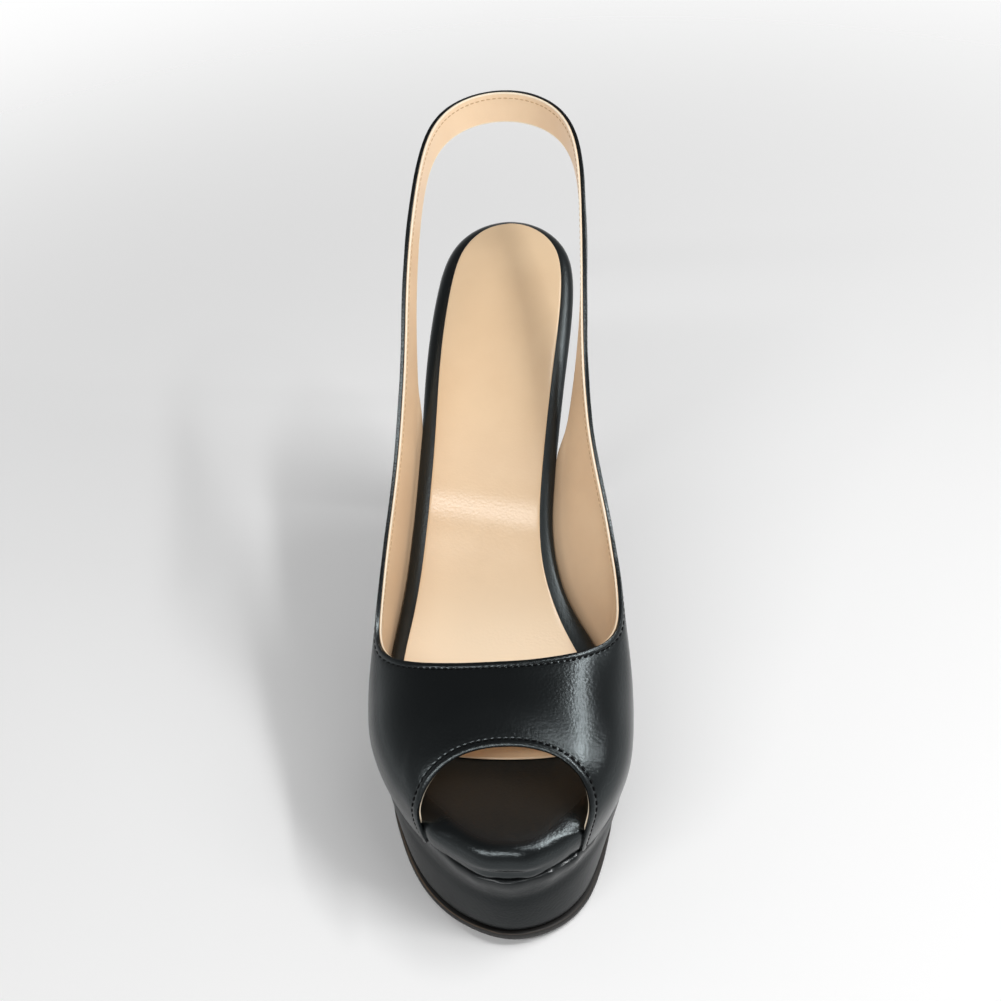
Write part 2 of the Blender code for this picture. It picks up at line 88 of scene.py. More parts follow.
# Rows of stitches
STITCH_PITCH = 2.0 * MM
STITCH_LENGTH = 1.55 * MM
STITCH_WIDTH = 0.44 * MM
STITCH_HEIGHT = 0.34 * MM
TOPLINE_INSET = 2.0 * MM
TOE_INSET = 2.3 * MM
LINING_INSET = 2.0 * MM
GROOVE = 0.45 * MM             # half the width of the trough that the thread lies in
GROOVE_DEPTH = 0.12 * MM

# The edges of the upper's sheets
LINE_STEP = 0.25 * MM          # spacing of the points along an edge
SHORT_LINE = 20                # lines with no more points than this are left out
OVER_PLATFORM = 1.6 * MM       # an edge at the toe is free when it is further from the platform
OVER_SOLES = 3.5 * MM          # an edge behind the toe is free when it is further from both soles

# The upper's lower edge, drawn in under the insole
LASTING_REACH = 3.5 * MM       # how far up the wall it is drawn
LASTING_GAP = (2.2 * MM, 3.4 * MM)   # gaps to the insole between which the edge comes free
LASTING_BITE = 0.25 * MM       # how far the edge goes into the insole's wrapping
LASTING_DROP = 0.2 * MM
LASTING_EVENING = 25           # points over which the moves are evened out
LEATHER_SHARE = 0.5            # the lining goes all the way, the leather this share of it
LEATHER_START = (25 * MM, 8 * MM)    # ahead of the platform's rear end the leather begins to go along
OPEN_TOE = 33 * MM             # how far back the open toe reaches from the insole's front
OPEN_TOE_BLUR = 5 * MM
PAINTED_SHADE_REACH = (0.6 * MM, 4.5 * MM)    # how far up from the insole the lining gets painted shade

# The lining's edge at the open toe, drawn back behind the leather's
LINING_BACK = 0.25 * MM
LEG_BACK = 5.0 * MM            # at the feet of the legs
LEG_TAPER = (2.0 * MM, 13.0 * MM)    # height of the feet above the insole's underside
LINING_REACH = 8 * MM          # how far into the lining it is felt

# The insole's rolled front, with places counted from the insole's front end
FRONT_STRIP = 0.5 * MM         # the points this close to it give the roll's middle
ROLL_SOFTENING = 14            # rounds of smoothing
ROLL_SOFT_END = (14 * MM, 24 * MM)
CREASE_RISE = 5.4 * MM         # of the crease under the roll, above the insole's underside
CREASE_DEPTH = 0.55 * MM
CREASE_WIDTH = 1.1 * MM
CREASE_HALF = 11 * MM          # half its length
CREASE_END = (8 * MM, 14 * MM)
TUCK_RISE = 0.6 * CREASE_RISE  # of the swell below the crease
TUCK_HEIGHT = 0.25 * MM
TUCK_WIDTH = 1.4 * MM
ROLL_FULL = 0.8 * MM           # how much fuller the roll is on both sides of its middle
ROLL_FULL_PLACE = 10 * MM
ROLL_FULL_WIDTH = 6 * MM
ROLL_FULL_END = (10 * MM, 20 * MM)
ROLL_MORE = 1.5 * MM           # how far the roll's ends reach out
ROLL_MORE_START = (3 * MM, 9 * MM)
ROLL_MORE_TILT = (0.2, 0.75)   # sideways tilt of the faces that move
LEG_MORE = 1.9 * MM            # how far they reach out further to the legs of the open toe
LEG_MORE_START = (8 * MM, 13 * MM)
LEG_MORE_TILT = (0.1, 0.6)
ROLL_MORE_END = (22 * MM, 34 * MM)
TOE_END = (27 * MM, 37 * MM)
TOE_FLAT = (0.93, 0.995)       # upward tilt of the flat leather inside the toe, which gets a painted brown reflection of the lining
ROLL_FLAT = (0.975, 0.999)     # upward tilt of the leather that is too flat to belong to the roll
RIM_GLOSS = 0.35               # gloss of the rim, as a share of the roll's

# The insole's rim swells outwards along the inner waist
RIM_MORE = 1.0 * MM
RIM_START = (-52 * MM, -36 * MM)
RIM_END = (-8 * MM, 14 * MM)
RIM_TILT = (0.05, 0.5)

# The rows of faces below the platform's upper edge
ROW_NEAR = 3 * MM              # an edge that is cut ends near the highest point within this distance
ROW_SLACK = 2 * MM
ROW_LONG = 3 * MM              # and rises by more than this
ROW_STEEP = 0.7                # and by more than this share of its length

# The platform's gathered lip in front
LIP_END = (20 * MM, 34 * MM)   # from the platform's front
LIP_DEPTH = (5 * MM, 0.8 * MM)   # below the insole's underside
LIP_OUT = 0.35 * MM            # how far the lip stands out
LIP_SWELL = 0.35 * MM          # how uneven that is
LIP_SWELL_SIZE = 8 * MM
LIP_SWELL_SMALL = 3.5 * MM
LIP_RISE = 0.7 * MM            # how far the lip goes up
LIP_RISE_SWELL = 0.4 * MM      # how uneven that is
LIP_RISE_SIZE = 10 * MM
OUTER_SIDE = (4 * MM, 18 * MM)   # on the outer side the lip is drawn in and up to the roll
OUTER_IN = 0.9 * MM
OUTER_RISE = 0.5 * MM
GATHERS = ((17.5 * MM, 2.0 * MM), (25.0 * MM, 1.5 * MM), (-20.0 * MM, 3.0 * MM))   # places and widths
GATHER_OUT = 0.5 * MM
GATHER_RISE = 0.7 * MM
HOLLOW_DROP = 5.5 * MM         # of the hollow under the lip
HOLLOW_DEPTH = 0.35 * MM
HOLLOW_WIDTH = 2.2 * MM

# The outsole and the heel
OUTSOLE_MORE = 1.5 * MM        # how far the outsole's end goes on up to the heel
OUTSOLE_MORE_REACH = (4 * MM, 1 * MM)
SLOPE_END = 2 * MM             # its slope is measured from here, ahead of its end,
SLOPE_AHEAD = 10 * MM          # to here
SLOPE_STRIP = 1.5 * MM
TAN_START = (0.58, 0.7)        # upward tilt of the faces where the tan line starts and ends
TAN_END = (0.86, 0.94)
TAN_WORN = 0.15                # what is left of the line on the inner side
TAN_WORN_PLACE = (-15 * MM, 25 * MM)
HEEL_ROUND = 0.8 * MM
TIP_ROUND = 0.4 * MM

# The sock's rear end is evened out on its outer side
SOCK_JOG = -1.5 * MM           # its sides meet here
SOCK_MORE = 1.0 * MM
SOCK_MORE_REACH = (9 * MM, 1.5 * MM)

# The sock is a little steeper along one line across the waist
FOLD_PLACE = 11 * MM
FOLD_SLANT = 0.12
FOLD_RISE = 0.42 * MM
FOLD_LENGTH = 5 * MM

# The sock's grain is rougher along that line and most along a second one
FOLD_BAND_WIDTH = 4 * MM
FOLD_BAND_SHARE = 0.2
BAND_PLACE = -23.5 * MM
BAND_SLANT = 0.3 * FOLD_SLANT
BAND_WIDTH = 2.6 * MM
BAND_RELIEF = 3.0              # how much the grain grows there, in times its height

# Painted light: the sock is painted paler over the forefoot, where the ball of the foot lies
LIT_START = (-62 * MM, -48 * MM)
LIT_END = (-30 * MM, 2 * MM)

# Grains and colours
GRAIN = 0.85 * MM              # size of the black leather's pebbles
LINING_GRAIN = 0.8 * MM
BLACK = ((0.0028, 0.0032, 0.0035, 1), (0.0044, 0.0050, 0.0054, 1))
BLACK_SHEEN = (0.86, 0.97, 1.0, 1)
# Painted reflection of the beige lining in the black leather inside the toe
TOE_PAINTED_REFLECTION = (0.0125, 0.0102, 0.0086, 1)
LINING_TONE = (0.87, 0.655, 0.44, 1)
LINING_SHADE = (0.80, 0.58, 0.38, 1)
# Painted shade for the lining in its fold along the insole
LINING_PAINTED_SHADE = (0.36, 0.22, 0.12, 1)
LINING_CUT = (0.90, 0.80, 0.64, 1)
CUT_WIDTH = (0.3 * MM, 0.65 * MM)    # how far the lining's pale cut edge reaches
SOCK_TONE = (0.765, 0.575, 0.375, 1)
SOCK_SHADE = (0.72, 0.53, 0.34, 1)
# Painted light on the sock's forefoot
SOCK_PAINTED_LIGHT = (0.925, 0.76, 0.56, 1)
RUBBER = ((0.006, 0.0055, 0.005, 1), (0.013, 0.0115, 0.0105, 1))
TAN_LINE = ((0.08, 0.048, 0.025, 1), (0.16, 0.10, 0.054, 1))
BLACK_THREAD = (0.005, 0.005, 0.0055)
TAN_THREAD = (0.62, 0.42, 0.24)

# The studio: white walls all round, a dark ceiling, a floor that fades into the walls
ZENITH = 0.10
HORIZON = 1.0
FLOOR_TONE = (0.97, 0.97, 0.97, 1)
FLOOR_FADE = 0.2               # the floor fades from this far out
FLOOR_END = 0.8

# Three long lamps: name, place, direction of the long side, width and length, power in watts
LAMPS = (
    ("side_lamp", (0.455, -0.03, 0.80), (0.13, -0.58, 0.0), (0.05, 0.6), 3.1),
    ("top_lamp", (0.57, -0.22, 0.95), (1.0, 0.0, 0.0), (0.05, 1.05), 3.3),
    ("front_lamp", (-0.34, -0.74, 0.95), (1.0, 0.0, 0.0), (0.08, 0.9), 4.4),
)
LAMP_AIM = (0.0, -0.05, 0.05)

# Meshes
MERGE = 0.01 * MM              # points closer than this count as one
LONG_RUNG = 8 * MM             # edges longer than this cross a sole piece from side to side
RUNG_ACROSS = 0.8              # share of their length that goes across the shoe
INNER_TILT = -0.8              # sideways tilt of the wall's faces that look back at the foot
SMOOTH_ANGLE = math.radians(60)

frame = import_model()


# Working with pieces

def only(piece):
    bpy.ops.object.select_all(action="DESELECT")
    piece.select_set(True)
    bpy.context.view_layer.objects.active = piece


def open_mesh(piece, select="FACE"):
    """Edit mode with nothing selected."""
    only(piece)
    bpy.ops.object.mode_set(mode="EDIT")
    bpy.ops.mesh.select_mode(type=select)
    bpy.ops.mesh.select_all(action="DESELECT")


def close_mesh():
    bpy.ops.object.mode_set(mode="OBJECT")


def modify(piece, kind, **settings):
    """Finish a piece with a modifier and apply it."""
    only(piece)
    modifier = piece.modifiers.new(kind, kind)
    for name, value in settings.items():
        setattr(modifier, name, value)
    bpy.ops.object.modifier_apply(modifier=modifier.name)


def smooth_out(piece, levels):
    modify(piece, "SUBSURF", levels=levels, render_levels=levels)


def thicken(sheet, thickness):
    modify(sheet, "SOLIDIFY", thickness=thickness, offset=-1,
           use_even_offset=True, use_quality_normals=True)


def round_edges(piece, width, segments):
    modify(piece, "BEVEL", width=width, segments=segments, limit_method="ANGLE", angle_limit=RIM_ANGLE)


def soften(piece, shares, rounds):
    """Even out a piece's points, each by its share."""
    group = piece.vertex_groups.new(name="soft")
    for index, share in enumerate(shares):
        if share > 0:
            group.add([index], float(share), "REPLACE")
    modify(piece, "SMOOTH", factor=0.5, iterations=rounds, vertex_group="soft")
    piece.vertex_groups.clear()


def add_piece(name, mesh):
    piece = bpy.data.objects.new(name, mesh)
    bpy.context.scene.collection.objects.link(piece)
    return piece


def copy_node(node, name):
    """A copy of a solid's mesh, merged and turned back into quads."""
    piece = add_piece(name, frame["nodes"][node].data.copy())
    piece.data.name = name
    piece.data.materials.clear()
    open_mesh(piece, "VERT")
    bpy.ops.mesh.customdata_custom_splitnormals_clear()
    bpy.ops.mesh.select_all(action="SELECT")
    bpy.ops.mesh.remove_doubles(threshold=MERGE)
    bpy.ops.mesh.select_all(action="SELECT")
    bpy.ops.mesh.tris_convert_to_quads(
        face_threshold=math.radians(70), shape_threshold=math.radians(150), topology_influence=2.0)
    close_mesh()
    return piece


def points_of(piece):
    points = np.empty(len(piece.data.vertices) * 3)
    piece.data.vertices.foreach_get("co", points)
    return points.reshape(-1, 3)


def normals_of(piece):
    normals = np.empty(len(piece.data.vertices) * 3)
    piece.data.vertex_normals.foreach_get("vector", normals)
    return normals.reshape(-1, 3)


def move_points(piece, points):
    piece.data.vertices.foreach_set("co", np.ascontiguousarray(points).ravel())
    piece.data.update()


def store(piece, name, values):
    """Keep a number for each point, which the finish can read."""
    attribute = piece.data.attributes.new(name, "FLOAT", "POINT")
    attribute.data.foreach_set("value", np.asarray(values, dtype=np.float32))


def ease(values, low, high):
    """A soft step from 0 at low to 1 at high."""
    t = np.clip((values - low) / (high - low), 0, 1)
    return t * t * (3 - 2 * t)


def bell(values, width):
    """1 at 0, falling softly to both sides."""
    return np.exp(-(values / width) ** 2)


def wave(points, size, seed):
    """Soft noise between about -1 and 1 for each point, with swells of about the given size."""
    place = Vector((seed, seed * 0.7, seed * 1.3))
    return np.array([noise.noise(Vector(p) / size + place) for p in points])


def cut_rungs(piece, cuts):
    """Cut the long rungs that cross a sole piece, so that its broad faces can be shaped."""
    points = points_of(piece)
    open_mesh(piece, "EDGE")
    close_mesh()
    for edge in piece.data.edges:
        along = points[edge.vertices[1]] - points[edge.vertices[0]]
        length = np.linalg.norm(along)
        edge.select = bool(length > LONG_RUNG and abs(along[0]) > RUNG_ACROSS * length)
    bpy.ops.object.mode_set(mode="EDIT")
    bpy.ops.mesh.subdivide(number_cuts=cuts)
    close_mesh()


def finish_piece(piece, material, slot, *nodes):
    """Shade a finished piece, let it ride on the shoe and stand for its solid."""
    only(piece)
    bpy.ops.object.shade_smooth_by_angle(angle=SMOOTH_ANGLE)
    piece.data.materials.clear()
    piece.data.materials.append(material)
    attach(piece, "root")
    if nodes:
        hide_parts(*nodes)


# Finishes

class Value:
    """A shader socket that works in sums like a number."""

    def __init__(self, finish, socket):
        self.finish = finish
        self.socket = socket

    def sum(self, operation, first, second):
        return self.finish.node("Math", {"operation": operation}, {0: first, 1: second})

    def __add__(self, other):
        return self.sum("ADD", self, other)

    def __radd__(self, other):
        return self.sum("ADD", other, self)

    def __sub__(self, other):
        return self.sum("SUBTRACT", self, other)

    def __rsub__(self, other):
        return self.sum("SUBTRACT", other, self)

    def __mul__(self, other):
        return self.sum("MULTIPLY", self, other)

    def __rmul__(self, other):
        return self.sum("MULTIPLY", other, self)

    def __abs__(self):
        return self.sum("ABSOLUTE", self, 0.0)


class NodeTree:
    """The nodes of a material or of the world."""

    def __init__(self, tree):
        self.tree = tree

    def node(self, kind, settings=None, sockets=None, output=0):
        """A new node with its settings and the values or links of its sockets."""
        made = self.tree.nodes.new("ShaderNode" + kind)
        for name, value in (settings or {}).items():
            setattr(made, name, value)
        for key, value in (sockets or {}).items():
            self.feed(made.inputs[key], value)
        return Value(self, made.outputs[output])

    def feed(self, socket, value):
        if isinstance(value, Value):
            self.tree.links.new(value.socket, socket)
        else:
            socket.default_value = value


class Finish(NodeTree):
    """One material of the shoe."""

    def __init__(self, name):
        self.material = bpy.data.materials.new(name)
        self.material.use_nodes = True
        super().__init__(self.material.node_tree)
        self.shader = self.tree.nodes["Principled BSDF"]

    def set(self, **sockets):
        """Values or links for the shader, with spaces in a socket's name written as underscores."""
        for name, value in sockets.items():
            self.feed(self.shader.inputs[name.replace("_", " ")], value)

    def place(self):
        return self.node("TexCoord", output="Object")

    def stored(self, name):
        return self.node("Attribute", {"attribute_name": name}, output="Fac")

    def noise(self, vector, size, detail=2.0, roughness=0.5):
        sockets = {"Vector": vector, "Scale": 1 / size, "Detail": detail, "Roughness": roughness}
        return self.node("TexNoise", None, sockets)

    def stretch(self, vector, scale):
        return self.node("VectorMath", {"operation": "MULTIPLY"}, {0: vector, 1: scale})

    def shift(self, vector, amount, by):
        """The place moved by a coloured noise, to make a regular pattern irregular."""
        spread = self.node("VectorMath", {"operation": "SCALE"}, {0: by, "Scale": amount})
        return self.node("VectorMath", {"operation": "ADD"}, {0: vector, 1: spread})

    def between(self, value, low, high):
        """0 below low and 1 above high, with a soft step from one to the other."""
        return self.node("MapRange", {"interpolation_type": "SMOOTHSTEP"},
                         {"Value": value, "From Min": low, "From Max": high})

    def mix(self, share, first, second):
        return self.node("Mix", {"data_type": "RGBA"}, {0: share, 6: first, 7: second}, output=2)

    def bump(self, height, distance, strength=1.0, under=None):
        sockets = {"Height": height, "Distance": distance, "Strength": strength}
        if under is not None:
            sockets["Normal"] = under
        return self.node("Bump", None, sockets)


def pebble_grain(finish, place, size):
    """Fine leather grain: small uneven cells with soft furrows between them."""
    sockets = {"Vector": place, "Scale": 0.5 / size, "Detail": 1.0}
    wander = finish.node("TexNoise", None, sockets, output="Color")
    loose = finish.shift(place, 0.9 * size, wander)
    cells = finish.node("TexVoronoi", {"feature": "SMOOTH_F1"},
                        {"Vector": loose, "Scale": 1 / size, "Smoothness": 0.5, "Randomness": 1.0})
    fine = finish.noise(place, 0.35 * size, detail=2.0)
    return 1.0 - cells * 0.9 + fine * 0.25


def thread_trough(finish, away, along, inset):
    """1 in the trough that a row of thread presses into the leather, deepest where the needle went in."""
    across = 1.0 - finish.between(abs(away - inset), 0.15 * GROOVE, 1.5 * GROOVE)
    turn = finish.node("Math", {"operation": "COSINE"}, {0: along * (2 * math.pi / STITCH_PITCH)})
    return across * (0.6 - turn * 0.4)


def black_leather(name, relief=0.04 * MM, roughness=0.245, gloss=0.5,
                  stitched=False, rolled=False, lipped=False):
    """Smooth black leather with a fine grain."""
    finish = Finish(name)
    place = finish.place()
    broad = finish.noise(place, 18 * MM, detail=3.0)
    tone = finish.mix(broad, *BLACK)
    dull = 0.0
    if rolled:
        # Painted reflection of the beige lining on the flat leather inside the toe
        tone = finish.mix(finish.stored("painted_toe_reflection"), tone, TOE_PAINTED_REFLECTION)
        dull = 0.14 - finish.stored("roll") * 0.16
    finish.set(Base_Color=tone)
    finish.set(Roughness=broad * 0.04 + dull + (roughness - 0.02))
    finish.set(Specular_IOR_Level=gloss, Specular_Tint=BLACK_SHEEN)
    if lipped:
        finish.set(Coat_Weight=finish.stored("lip") * 0.7, Coat_Roughness=0.2)
    normal = finish.bump(pebble_grain(finish, place, GRAIN), relief)
    if stitched:
        top = thread_trough(finish, finish.stored("top_away"), finish.stored("top_along"), TOPLINE_INSET)
        toe = thread_trough(finish, finish.stored("free_away"), finish.stored("free_along"), TOE_INSET)
        normal = finish.bump(0.0 - top - toe, GROOVE_DEPTH, 1.0, normal)
    finish.set(Normal=normal)
    return finish.material


def beige_leather(name, tone, shade, roughness=0.34, gloss=0.5, relief=0.02 * MM,
                  edged=False, worn_and_lit=False):
    """Soft lining leather: paler where it was cut, with painted light over the sock's forefoot and
    painted shade in the fold along the insole.
    """
    finish = Finish(name)
    place = finish.place()
    broad = finish.noise(place, 30 * MM, detail=4.0, roughness=0.55)
    colour = finish.mix(finish.between(broad, 0.3, 0.75), shade, tone)
    fleck = finish.between(finish.noise(place, 1.3 * MM, detail=3.0, roughness=0.7), 0.68, 0.82)
    colour = finish.mix(fleck * 0.25, colour, tuple(0.72 * c for c in shade[:3]) + (1,))
    if worn_and_lit:
        # Painted light: the sock's forefoot is made paler
        colour = finish.mix(finish.stored("worn_and_lit"), colour, SOCK_PAINTED_LIGHT)
    if edged:
        cut = 1.0 - finish.between(finish.stored("away"), *CUT_WIDTH)
        # Painted shade: the lining is darkened in its fold along the insole
        colour = finish.mix(finish.stored("fold") * 0.5, colour, LINING_PAINTED_SHADE)
        colour = finish.mix(cut * 0.85, colour, LINING_CUT)
    finish.set(Base_Color=colour)
    finish.set(Roughness=roughness - 0.05 + broad * 0.1, Specular_IOR_Level=gloss)
    grain = pebble_grain(finish, finish.stretch(place, (0.75, 1.0, 1.0)), LINING_GRAIN)
    if worn_and_lit:
        grain = grain * (1.0 + finish.stored("rough_band") * BAND_RELIEF)
    finish.set(Normal=finish.bump(grain, relief))
    return finish.material


def sole_rubber(name, relief=0.05 * MM, edged=False):
    """Dark sole rubber with a matt, finely pitted face, and a tan line along its upper edge."""
    finish = Finish(name)
    place = finish.place()
    broad = finish.noise(place, 14 * MM, detail=4.0)
    tone = finish.mix(broad, *RUBBER)
    if edged:
        fibre = finish.noise(place, 1.5 * MM, detail=3.0)
        tone = finish.mix(finish.stored("upper_edge"), tone, finish.mix(fibre, *TAN_LINE))
    finish.set(Base_Color=tone)
    pits = finish.noise(place, 0.5 * MM, detail=3.0, roughness=0.6)
    finish.set(Roughness=0.46 + pits * 0.2)
    finish.set(Normal=finish.bump(pits, relief, 0.8))
    return finish.material


def plain_thread(name, colour):
    finish = Finish(name)
    twist = finish.noise(finish.place(), 0.25 * MM, detail=2.0)
    finish.set(Base_Color=finish.mix(twist, tuple(0.75 * c for c in colour) + (1,), colour + (1,)))
    finish.set(Roughness=0.7 + twist * 0.2, Specular_IOR_Level=0.12)
    finish.set(Normal=finish.bump(twist, 0.05 * MM, 0.6))
    return finish.material


# The upper

class EdgeLine:
    """A line along an edge of the upper, with each point's distance from it and place along it."""

    def __init__(self, corners, closed):
        corners = np.asarray(corners)
        if closed:
            corners = np.vstack([corners, corners[:1]])
        steps = np.linalg.norm(np.diff(corners, axis=0), axis=1)
        reach = np.concatenate([[0.0], np.cumsum(steps)])
        self.length = reach[-1]
        self.places = np.linspace(0.0, self.length, int(self.length / LINE_STEP))
        self.points = np.stack([np.interp(self.places, reach, corners[:, k]) for k in range(3)], axis=1)
        self.tree = KDTree(len(self.points))
        for index, point in enumerate(self.points):
            self.tree.insert(point, index)
        self.tree.balance()

    def measure(self, points):
        found = [self.tree.find(point) for point in points]
        away = np.array([distance for _, _, distance in found])
        along = np.array([self.places[index] for _, index, _ in found])
        return away, along

    def carry(self, points, moves, reach):
        """The points as a moved line draws them along, less and less up to the reach."""
        found = [self.tree.find(point) for point in points]
        away = np.array([distance for _, _, distance in found])
        nearest = [index for _, index, _ in found]
        return points + moves[nearest] * (1 - ease(away, 0, reach))[:, None]

    def at(self, place):
        """The point at a place along the line, and the line's direction there."""
        index = int(np.clip(place / self.length * (len(self.points) - 1), 2, len(self.points) - 3))
        direction = Vector(self.points[index + 2] - self.points[index - 2])
        return Vector(self.points[index]), direction.normalized()


def sheet_from(wall, name, seed):
    """Take the side of the wall that holds the seed face as a sheet of its own."""
    open_mesh(wall, "FACE")
    close_mesh()
    wall.data.polygons[seed].select = True
    bpy.ops.object.mode_set(mode="EDIT")
    bpy.ops.mesh.select_linked(delimit={"SEAM"})
    bpy.ops.mesh.separate(type="SELECTED")
    close_mesh()
    sheet = next(item for item in bpy.context.selected_objects if item != wall)
    sheet.name = name
    sheet.data.name = name
    return sheet


def split_wall():
    """The wall's outer and inner sides as two sheets, without its rims."""
    wall = copy_node("upper", "upper_wall")
    open_mesh(wall, "EDGE")
    bpy.ops.mesh.edges_select_sharp(sharpness=RIM_ANGLE)
    bpy.ops.mesh.mark_seam()
    close_mesh()
    outer_seed = max(wall.data.polygons, key=lambda face: face.center.x).index
    outer = sheet_from(wall, "upper_leather", outer_seed)
    facing_in = [face for face in wall.data.polygons if face.normal.x < INNER_TILT]
    inner_seed = max(facing_in, key=lambda face: face.center.x).index
    inner = sheet_from(wall, "upper_lining", inner_seed)
    bpy.data.objects.remove(wall)
    return outer, inner


def border_edges(mesh):
    """Edges with a single face, as pairs of points."""
    count = {}
    for face in mesh.polygons:
        for key in face.edge_keys:
            count[key] = count.get(key, 0) + 1
    return [key for key, faces in count.items() if faces == 1]


def crowd_border(sheet):
    """Cut the faces along the sheet's borders into narrow strips, which the stitched edges need."""
    border = {point for key in border_edges(sheet.data) for point in key}
    open_mesh(sheet, "EDGE")
    close_mesh()
    for edge in sheet.data.edges:
        edge.select = (edge.vertices[0] in border) != (edge.vertices[1] in border)
    bpy.ops.object.mode_set(mode="EDIT")
    bpy.ops.mesh.subdivide(number_cuts=2)
    close_mesh()


def border_loops(sheet):
    """The sheet's borders as closed rows of points, the highest one first."""
    neighbours = {}
    for a, b in border_edges(sheet.data):
        neighbours.setdefault(a, []).append(b)
        neighbours.setdefault(b, []).append(a)
    points = points_of(sheet)
    loops = []
    left = set(neighbours)
    while left:
        loop = [min(left)]
        left.discard(loop[0])
        while True:
            onward = [p for p in neighbours[loop[-1]] if p in left]
            if not onward:
                break
            loop.append(onward[0])
            left.discard(onward[0])
        loops.append(points[loop])
    loops = [loop for loop in loops if len(loop) > SHORT_LINE]
    return sorted(loops, key=lambda loop: -loop[:, 2].mean())


def free_runs(loop):
    """The parts of the lower border that meet no sole: the open toe, and the strap with its quarters."""
    insole = BVHTree.FromPolygons(*mesh_lists(frame["nodes"]["insole"]))
    platform = BVHTree.FromPolygons(*mesh_lists(frame["nodes"]["platform"]))
    toe_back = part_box("insole")[0].y + OPEN_TOE
    free = []
    for point in loop:
        at = Vector(point)
        if at.y < toe_back:
            free.append(platform.find_nearest(at)[3] > OVER_PLATFORM)
        else:
            free.append(min(insole.find_nearest(at)[3], platform.find_nearest(at)[3]) > OVER_SOLES)
    runs = []
    start = next(i for i in range(len(loop)) if free[i - 1] and not free[i])
    order = [(start + i) % len(loop) for i in range(len(loop))]
    run = []
    for index in order:
        if free[index]:
            run.append(loop[index])
        elif run:
            runs.append(np.array(run))
            run = []
    if run:
        runs.append(np.array(run))
    return [run for run in runs if len(run) > SHORT_LINE]


def mesh_lists(piece):
    return [v.co.copy() for v in piece.data.vertices], [tuple(f.vertices) for f in piece.data.polygons]


def one_stitch():
    """A stitch with the shape of a grain of rice, thick in the middle and thin at both ends."""
    bpy.ops.object.select_all(action="DESELECT")
    bpy.ops.mesh.primitive_uv_sphere_add(
        segments=8, ring_count=6, radius=0.5, rotation=(0, math.pi / 2, 0))
    stitch = bpy.context.active_object
    bpy.ops.object.transform_apply(location=True, rotation=True, scale=True)
    bpy.ops.object.mode_set(mode="EDIT")
    bpy.ops.mesh.select_all(action="SELECT")
    bpy.ops.transform.resize(value=(STITCH_LENGTH, STITCH_WIDTH, STITCH_HEIGHT))
    close_mesh()
    return stitch


def into_sheet(surface, at, along, reach):
    """The direction on the surface that leads away from its edge, square to it."""
    _, normal, _, _ = surface.find_nearest(at)
    inward = normal.cross(along).normalized()
    ahead = surface.find_nearest(at + inward * reach)[3]
    astern = surface.find_nearest(at - inward * reach)[3]
    return inward if ahead < astern else -inward


def sew(name, lines, surface, inset, material, slot):
    """A row of stitches along each line, on the surface, a little in from the edge."""
    stitch = one_stitch()
    pattern = stitch.data
    copies = []
    for line in lines:
        count = int(line.length / STITCH_PITCH)
        for index in range(count):
            at, along = line.at((index + 0.5) * STITCH_PITCH)
            spot, normal, _, _ = surface.find_nearest(at + into_sheet(surface, at, along, inset) * inset)
            side = normal.cross(along).normalized()
            along = side.cross(normal)
            turn = Matrix((along, side, normal)).transposed().to_4x4()
            mesh = pattern.copy()
            mesh.transform(Matrix.Translation(spot) @ turn)
            copies.append(add_piece(name + "_" + str(index), mesh))
    bpy.data.objects.remove(stitch)
    bpy.ops.object.select_all(action="DESELECT")
    for copy in copies:
        copy.select_set(True)
    bpy.context.view_layer.objects.active = copies[0]
    bpy.ops.object.join()
    row = copies[0]
    row.name = name
    row.data.name = name
    finish_piece(row, material, slot)


def surface_of(sheet, levels):
    """A smooth copy of a sheet, to measure on."""
    guide = add_piece("guide", sheet.data.copy())
    smooth_out(guide, levels)
    return guide


def draw_under(sheet, insole, share):
    """Draw a sheet's lower edge in towards the insole, and down on to what it stands on."""
    line = EdgeLine(border_loops(sheet)[1], closed=True)
    moves = np.zeros_like(line.points)
    for index, point in enumerate(line.points):
        spot, normal, _, gap = insole.find_nearest(Vector(point))
        hold = 1 - ease(gap, *LASTING_GAP)
        if (Vector(point) - spot).dot(normal) > 0:
            moves[index] = (np.array(spot) - point) * (1 + LASTING_BITE / gap) * share(point) * hold
        moves[index, 2] -= LASTING_DROP * hold
    width = LASTING_EVENING
    window = np.hanning(width + 2)[1:-1]
    window /= window.sum()
    for k in range(3):
        longer = np.concatenate([moves[-width:, k], moves[:, k], moves[:width, k]])
        moves[:, k] = np.convolve(longer, window, mode="same")[width:-width]
    move_points(sheet, line.carry(points_of(sheet), moves, LASTING_REACH))


def draw_back_at_toe(sheet):
    """Draw the lining's edge back behind the leather's at the open toe, most at the feet of its legs."""
    surface = BVHTree.FromPolygons(*mesh_lists(sheet))
    runs = free_runs(border_loops(sheet)[1])
    line = EdgeLine(min(runs, key=lambda run: run[:, 1].mean()), closed=False)
    inward = []
    side = 0
    for place in line.places:
        at, along = line.at(place)
        inward.append(surface.find_nearest(at)[1].cross(along).normalized())
        side += 1 if into_sheet(surface, at, along, LINING_INSET).dot(inward[-1]) > 0 else -1
    rise = line.points[:, 2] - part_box("insole")[0].z
    back = LINING_BACK + (LEG_BACK - LINING_BACK) * (1 - ease(rise, *LEG_TAPER))
    moves = np.array(inward) * (math.copysign(1, side) * back)[:, None]
    points = points_of(sheet)
    drawn = line.carry(points, moves, LINING_REACH)
    for index in np.nonzero(np.abs(drawn - points).max(axis=1) > MERGE)[0]:
        drawn[index] = surface.find_nearest(Vector(drawn[index]))[0]
    move_points(sheet, drawn)


